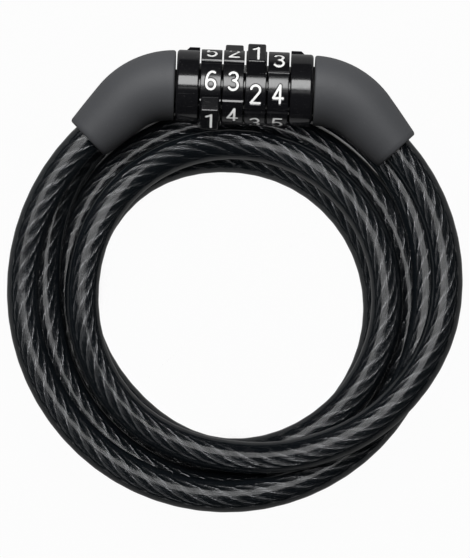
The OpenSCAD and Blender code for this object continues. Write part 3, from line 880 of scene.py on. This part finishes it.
def boot_place(s, side):
    """Middle of the boot and its turn about Z, a length s from the lock's side."""
    arc = min(s, BOOT_BEND_R * BOOT_BEND)
    turn = arc / BOOT_BEND_R
    rest = s - arc
    x = BOOT_X + BOOT_BEND_R * math.sin(turn) + rest * math.cos(turn)
    y = -BOOT_BEND_R * (1 - math.cos(turn)) - rest * math.sin(turn)
    return Vector((LOCK_X + side * x, LOCK_Y + y, AXIS_Z)), -side * turn


def make_boot(name, side):
    """Extruded ring by ring from a circle round the lock's axis, and closed into itself
    through the bore."""
    stations = boot_stations()
    place, turn = boot_place(0, side)
    radius = stations[0][1]
    bpy.ops.mesh.primitive_circle_add(
        vertices=BOOT_SIDES, radius=radius, location=place, rotation=(0, math.pi / 2, 0))
    boot = named(name, rubber)
    settle(boot)
    edit(boot)
    bpy.ops.mesh.select_all(action="SELECT")
    for s, r in stations[1:]:
        new_place, new_turn = boot_place(s, side)
        bpy.ops.mesh.extrude_edges_move(TRANSFORM_OT_translate={"value": new_place - place})
        if new_turn != turn:
            bpy.ops.transform.rotate(
                value=TURN_SIGN * (new_turn - turn), orient_axis="Z", orient_type="GLOBAL",
                center_override=new_place)
        if r != radius:
            bpy.ops.transform.resize(value=(r / radius,) * 3, center_override=new_place)
        place, turn, radius = new_place, new_turn, r
    pick("EDGE", lambda m, e: len(e.link_faces) == 1)
    bpy.ops.mesh.bridge_edge_loops()
    face_outwards()
    edit_done()
    smooth(boot, degrees=40)
    return boot


# -------- caps
CAP_SIDES, PIN_BORE_SIDES = 160, 64


def make_cap(name, side):
    """A painted cap: a rounded drum, its index ridge, and the bores of the core tube and pin."""
    cap = add_rod(name, CAP_R, CAP_IN, CAP_OUT, CAP_SIDES, cap_paint)
    edit(cap)
    bevel(lambda m, e: abs(m.x - CAP_OUT) < TINY, CAP_ROUND, 6)
    bevel(lambda m, e: abs(m.x - CAP_IN) < TINY, CAP_EDGE, 3)
    edit_done()
    combine(cap, make_ridge(), "UNION")
    combine(cap, add_rod("bore", CORE_R, CAP_IN - PAST, CORE_HALF), "DIFFERENCE")
    bore_r = PIN_BORE_R if side > 0 else SHANK_BORE_R
    bore = add_rod("bore", bore_r, CAP_IN, CAP_OUT + PAST, PIN_BORE_SIDES)
    combine(cap, bore, "DIFFERENCE")
    if side > 0:
        slot = add_block(
            "slot", (CAP_IN - PAST, -LUG_GATE_W / 2, 0),
            (CAP_OUT + PAST, LUG_GATE_W / 2, LUG_GATE_REACH))
        combine(cap, slot, "DIFFERENCE")
    else:
        cap.scale = (-1, 1, 1)
        settle(cap)
        edit(cap)
        bpy.ops.mesh.select_all(action="SELECT")
        bpy.ops.mesh.remove_doubles(threshold=TINY)
        face_outwards()
        edit_done()
    smooth(cap)
    to_lock(cap)
    return cap


def make_ridge():
    """The wedge beside the rings that marks the code's line, sloping down to the boot."""
    ridge = add_block(
        "ridge", (CAP_IN + RIDGE_INSET, -RIDGE_W / 2, CAP_R - RIDGE_ROOT),
        (CAP_IN + RIDGE_LEN, RIDGE_W / 2, CAP_R + RIDGE_H))
    edit(ridge)
    far = CAP_IN + 0.9 * RIDGE_LEN
    bevel(lambda m, e: m.z > CAP_R and m.x > far and abs(m.y) < TINY, RIDGE_SLOPE, 1)
    bevel(lambda m, e: m.z > CAP_R - RIDGE_ROOT / 2, RIDGE_ROUND, 3)
    edit_done()
    turn_about_x(ridge, RIDGE_TURN)
    return ridge


# -------- numbers
# Between the middle lines of the strokes, and how far below its facet's middle a number sits
NUMBER_W, NUMBER_H, NUMBER_DROP = 2.8 * MM, 5.65 * MM, 0.4 * MM
# Half a stroke's width, at its floor and above the ring
STROKE_FLOOR, STROKE_TOP = 0.36 * MM, 0.74 * MM
STROKE_DEPTH, STROKE_ABOVE = 0.16 * MM, 0.06 * MM
STROKE_STEP = 0.3 * MM
END_PARTS = 6


def arc(x, y, rx, ry, start, end, parts=16):
    """Points on an ellipse's arc, in shares of the number's half width and half height."""
    turns = [math.radians(start + (end - start) * i / parts) for i in range(parts + 1)]
    return [(x + rx * math.cos(a), y + ry * math.sin(a)) for a in turns]


# Strokes of each number: (points, closed), with the half width and the half height as 1
STROKES = {
    1: [([(0.35, 1), (0.35, -1)], False), ([(0.35, 1), (0.0, 0.84), (-0.7, 0.7)], False)],
    2: [(arc(0, 0.5, 1, 0.5, 168, -32) + [(-1, -1)], False), ([(-1, -1), (1, -1)], False)],
    3: [(arc(-0.04, 0.53, 0.92, 0.47, 152, -90), False),
        (arc(-0.04, -0.47, 1.04, 0.53, 90, -150), False)],
    4: [([(0.45, 1), (-1.05, -0.44)], False), ([(-1.05, -0.44), (1.1, -0.44)], False),
        ([(0.45, 1), (0.45, -1)], False)],
    5: [([(0.9, 1), (-0.7, 1)], False), ([(-0.7, 1), (-0.86, 0.06)], False),
        (arc(-0.04, -0.37, 1.04, 0.63, 140, -140), False)],
    6: [(arc(0, -0.46, 1, 0.54, 0, 360, 32), True),
        (arc(0.3, -0.22, 1.3, 1.22, 185, 66, 20), False)],
}


def even(points, closed):
    """A flat stroke's points an even step apart, in metres."""
    flat = [Vector((x * NUMBER_W / 2, y * NUMBER_H / 2, 0)) for x, y in points]
    line = spaced(flat, STROKE_STEP)
    return line[:-1] if closed else line


def stroke_outline(line, closed, half):
    """Left and right edges of a stroke, and the round ends of an open one."""
    left, right = [], []
    count = len(line)
    for i, p in enumerate(line):
        after = line[(i + 1) % count] if closed else line[min(i + 1, count - 1)]
        before = line[(i - 1) % count] if closed else line[max(i - 1, 0)]
        way = (after - before).normalized()
        off = Vector((-way.y, way.x, 0)) * half
        left.append(p + off)
        right.append(p - off)
    ends = []
    for p, q in () if closed else ((line[-1], line[-2]), (line[0], line[1])):
        way = (p - q).normalized()
        off = Vector((-way.y, way.x, 0))
        turns = [math.pi / 2 - math.pi * i / END_PARTS for i in range(1, END_PARTS)]
        ends.append([p + half * (way * math.cos(a) + off * math.sin(a)) for a in turns])
    return left, right, ends


def stroke_solid(points, closed, lay_on):
    """The tapered groove of one stroke as a closed solid. lay_on puts a flat point and its
    depth on the ring."""
    line = even(points, closed)
    count = len(line)
    corners, faces = [], []
    for half, depth in ((STROKE_TOP, -STROKE_ABOVE), (STROKE_FLOOR, STROKE_DEPTH)):
        left, right, ends = stroke_outline(line, closed, half)
        corners += [lay_on(p, depth) for p in left + right + [q for end in ends for q in end]]
    level = len(corners) // 2
    for a in range(count if closed else count - 1):
        b = (a + 1) % count
        right_a, right_b = count + a, count + b
        faces += [
            (a, b, right_b, right_a), (level + right_a, level + right_b, level + b, level + a),
            (b, a, level + a, level + b), (right_a, right_b, level + right_b, level + right_a)]
    if not closed:
        cap = 2 * count
        last = [count - 1, *range(cap, cap + END_PARTS - 1), 2 * count - 1]
        first = [count, *range(cap + END_PARTS - 1, cap + 2 * END_PARTS - 2), 0]
        for loop in (last, first):
            faces += [tuple(loop), tuple(level + k for k in reversed(loop))]
            faces += [(b, a, level + a, level + b) for a, b in zip(loop, loop[1:])]
    return corners, faces


def make_number_tool(number):
    """The cutter of one number, at its turn on a ring whose number 1 points up."""
    turn = -math.radians(NUMBER_STEP * (number - 1))

    def on_ring(p, depth):
        angle = turn + (p.y - NUMBER_DROP) / DIAL_R
        reach = DIAL_R - depth
        return (p.x, reach * math.sin(angle), reach * math.cos(angle))

    def on_tab(p, depth):
        return (p.x, p.y - NUMBER_DROP, TAB_REACH - depth)

    corners, faces = [], []
    for points, closed in STROKES[number]:
        more, loops = stroke_solid(points, closed, on_tab if number == 1 else on_ring)
        faces += [tuple(len(corners) + k for k in loop) for loop in loops]
        corners += more
    tool = new_piece(f"number_tool_{number}", corners, faces, [ring_plastic])
    edit(tool)
    face_outwards()
    edit_done()
    return tool


# -------- number rings
RING_SIDES = 180
TAB_RIM = 0.12 * MM             # band of faces inside the edge of each side of the tab
TAB_SIDE_AREA = 12 * MM**2      # the tab's sides are larger than this, its roundings smaller


def make_tab():
    """The finger tab: a block drawn in to its flat, with soft edges."""
    half, base = DIAL_W / 2 - DIAL_ROUND - TAB_SIDE_GAP, DIAL_R / 2
    foot = DIAL_R * math.cos(math.pi / NUMBERS)
    tab = add_block("tab", (-half, -base, foot), (half, base, TAB_REACH))
    edit(tab)
    pick("FACE", lambda m, f: f.normal.z > ALONG)
    bpy.ops.transform.resize(
        value=(TAB_W / (2 * half), TAB_FLAT / (2 * base), 1), center_override=(0, 0, TAB_REACH))
    bevel(lambda m, e: m.z > foot + TINY, TAB_ROUND, 4)
    pick("FACE", lambda m, f: f.calc_area() > TAB_SIDE_AREA and f.normal.z > -0.5)
    bpy.ops.mesh.inset(thickness=TAB_RIM, use_individual=True)
    pick("FACE", lambda m, f: f.normal.z < -ALONG)
    bpy.ops.mesh.extrude_region_move(TRANSFORM_OT_translate={"value": (0, 0, TAB_ROOT - foot)})
    edit_done()
    return tab


def make_ring_blank():
    """A number ring at turn 0: a drum with six facet grooves, the finger tab, the bore and
    its inked numbers."""
    half = DIAL_W / 2
    ring = add_rod("ring_blank", DIAL_R, -half, half, RING_SIDES, ring_plastic)
    edit(ring)
    bevel(lambda m, e: abs(abs(m.x) - half) < TINY, DIAL_ROUND, 4)
    edit_done()
    for i in range(NUMBERS):
        groove = add_block(
            "groove", (-half - PAST, -GROOVE_W / 2, DIAL_R),
            (half + PAST, GROOVE_W / 2, TAB_REACH + PAST))
        edit(groove)
        pick("FACE", lambda m, f: f.normal.z < -ALONG)
        bpy.ops.mesh.extrude_region_move(TRANSFORM_OT_translate={"value": (0, 0, -GROOVE_DEPTH)})
        bpy.ops.transform.resize(value=(1, GROOVE_FLOOR / GROOVE_W, 1), center_override=(0, 0, 0))
        bevel(lambda m, e: abs(m.x) < TINY and m.z < DIAL_R + TINY, GROOVE_ROUND, 2)
        edit_done()
        turn_about_x(groove, NUMBER_STEP * (i + 0.5))
        combine(ring, groove, "DIFFERENCE")
    combine(ring, make_tab(), "UNION")
    combine(ring, add_rod("bore", GATE_R + RUN_GAP, -half - PAST, half + PAST), "DIFFERENCE")
    for number in STROKES:
        combine(ring, make_number_tool(number), "DIFFERENCE", crossing=True)
    ink_the_numbers(ring)
    return ring


def ink_the_numbers(ring):
    """Fills the floors of the number grooves with white ink."""
    ring.data.materials.append(white_ink)
    ring_slack, tab_slack = 0.03 * MM, 0.02 * MM
    for face in ring.data.polygons:
        reach = math.hypot(face.center.y, face.center.z)
        out = face.normal.y * face.center.y + face.normal.z * face.center.z
        if out < ALONG * reach:
            continue
        on_ring = abs(reach - (DIAL_R - STROKE_DEPTH)) < ring_slack
        on_tab = abs(face.center.z - (TAB_REACH - STROKE_DEPTH)) < tab_slack
        if on_ring or (on_tab and abs(face.center.y) < NUMBER_H):
            face.material_index = 1


def make_rings():
    rings = []
    blank = make_ring_blank()
    for i, turn in enumerate(DIAL_TURN):
        ring = blank.copy()
        ring.data = blank.data.copy()
        ring.name = ring.data.name = f"engraved_ring_{i + 1}"
        scene.collection.objects.link(ring)
        turn_about_x(ring, turn)
        to_lock(ring, DIAL_X[i])
        smooth(ring, degrees=25)
        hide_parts(f"number_ring_{i + 1}")
        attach(ring, f"dial_{i + 1}")
        rings.append(ring)
    bpy.data.objects.remove(blank)
    return rings


# -------- the scene
def make_cable():
    """Makes both stretches of the cable: jacket and rope of each."""
    lead = [in_boot(-1, JACKET_DEPTH), in_boot(-1, JACKET_DEPTH / 2)]
    coil_line = lead + coil_points(MOUTH_TURN, JOIN_TURN)
    last = [in_boot(1, JACKET_DEPTH / 2), in_boot(1, JACKET_DEPTH)]
    tail_line = coil_points(JOIN_TURN, END_TURN) + last
    rope_coil_line = [in_boot(-1, ROPE_DEPTH)] + coil_line
    rope_tail_line = tail_line + [in_boot(1, ROPE_DEPTH)]
    at_join = line_length(coil_line)
    way = (coil_at(JOIN_TURN + 0.5) - coil_at(JOIN_TURN - 0.5)).normalized()

    coil = make_jacket("jacket_coil", coil_line, 0, end_way=way)
    rope_coil = make_rope("wire_rope_coil", rope_coil_line, JACKET_DEPTH - ROPE_DEPTH, end_way=way)
    tail = make_jacket("jacket_tail", tail_line, at_join, start_way=way)
    rope_tail = make_rope("wire_rope_tail", rope_tail_line, at_join, start_way=way)

    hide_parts("cable_coil")
    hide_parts("rope_coil")
    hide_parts("cable_tail")
    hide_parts("rope_tail")
    for piece in (coil, rope_coil):
        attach(piece, "lock_body")
    for piece in (tail, rope_tail):
        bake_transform(piece)
    return (coil, tail), (rope_coil, rope_tail)


def make_lock():
    """Makes the rings, caps and boots, and returns the gloss black ones and the boots."""
    blacks, boots = make_rings(), []
    for name, side, node in (
            ("painted_cap_left", -1, "left_end_cap"), ("painted_cap_right", 1, "right_end_cap")):
        cap = make_cap(name, side)
        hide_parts(node)
        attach(cap, "lock_body")
        blacks.append(cap)
    for name, side, node, body in (
            ("rubber_boot_left", -1, "left_boot", "lock_body"),
            ("rubber_boot_right", 1, "right_boot", "pin_end")):
        boot = make_boot(name, side)
        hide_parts(node)
        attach(boot, body)
        boots.append(boot)
    return blacks, boots


def finish_inner_parts():
    """The CAD nodes that stay get their own metals."""
    metals = {"plated_steel": plated_steel, "spring_steel": spring_steel, "gate_brass": gate_brass}
    for part in frame["record"]["subparts"]:
        if part["material_slot"] in metals:
            for slot in nodes[part["node"]].material_slots:
                slot.material = metals[part["material_slot"]]
    # the pin and the ferrules carry painted shade where they show between the caps and the boots
    for name, material in (
            ("spacer_washers", ring_plastic), ("locking_pin", gap_shaded_steel),
            ("left_ferrule", gap_shaded_steel), ("right_ferrule", gap_shaded_steel)):
        for slot in nodes[name].material_slots:
            slot.material = material


def make_floor():
    bpy.ops.mesh.primitive_plane_add(size=FLOOR_SIZE, location=(0, 0, 0))
    floor = named("studio_floor", floor_white())


def add_lights(jackets, ropes, gloss_blacks, boots):
    """A softbox for each kind of finish, a thin edge light, and two dim fills that reflections
    don't show."""
    apart = (*jackets, *ropes, *boots)
    others = [piece for piece in scene.objects if piece.type == "MESH" and piece not in apart]
    add_softbox("softbox", (-0.336, 0.082), (0.208, 0.385), 7.6, others)
    add_softbox("softbox_for_ropes", (-0.5, -0.5), (0.35, 0.5), 0.95, ropes)
    add_softbox("glint_for_ropes", (-0.24, 0.0), (0.06, 0.22), 6.5, ropes, height=GLINT_HEIGHT)
    add_softbox("softbox_for_jackets", (-0.48, -0.02), (0.12, 0.43), 3.1, jackets)
    add_softbox("softbox_for_boots", (-0.40, 0.17), (0.30, 0.77), 5.5, boots)
    add_softbox("softbox_edge", (-0.336, -0.03), (0.208, 0.008), 1.1, gloss_blacks)
    add_softbox("fill_back", (-0.5, 0.47), (0.4, 1.1), 2.0, gloss_blacks, gloss=False)
    add_softbox("fill_front", (-0.5, -1.0), (0.4, -0.35), 1.6, gloss_blacks, gloss=False)


add_camera()
jackets, ropes = make_cable()
gloss_blacks, boots = make_lock()
finish_inner_parts()
make_floor()
add_lights(jackets, ropes, gloss_blacks, boots)
add_world()
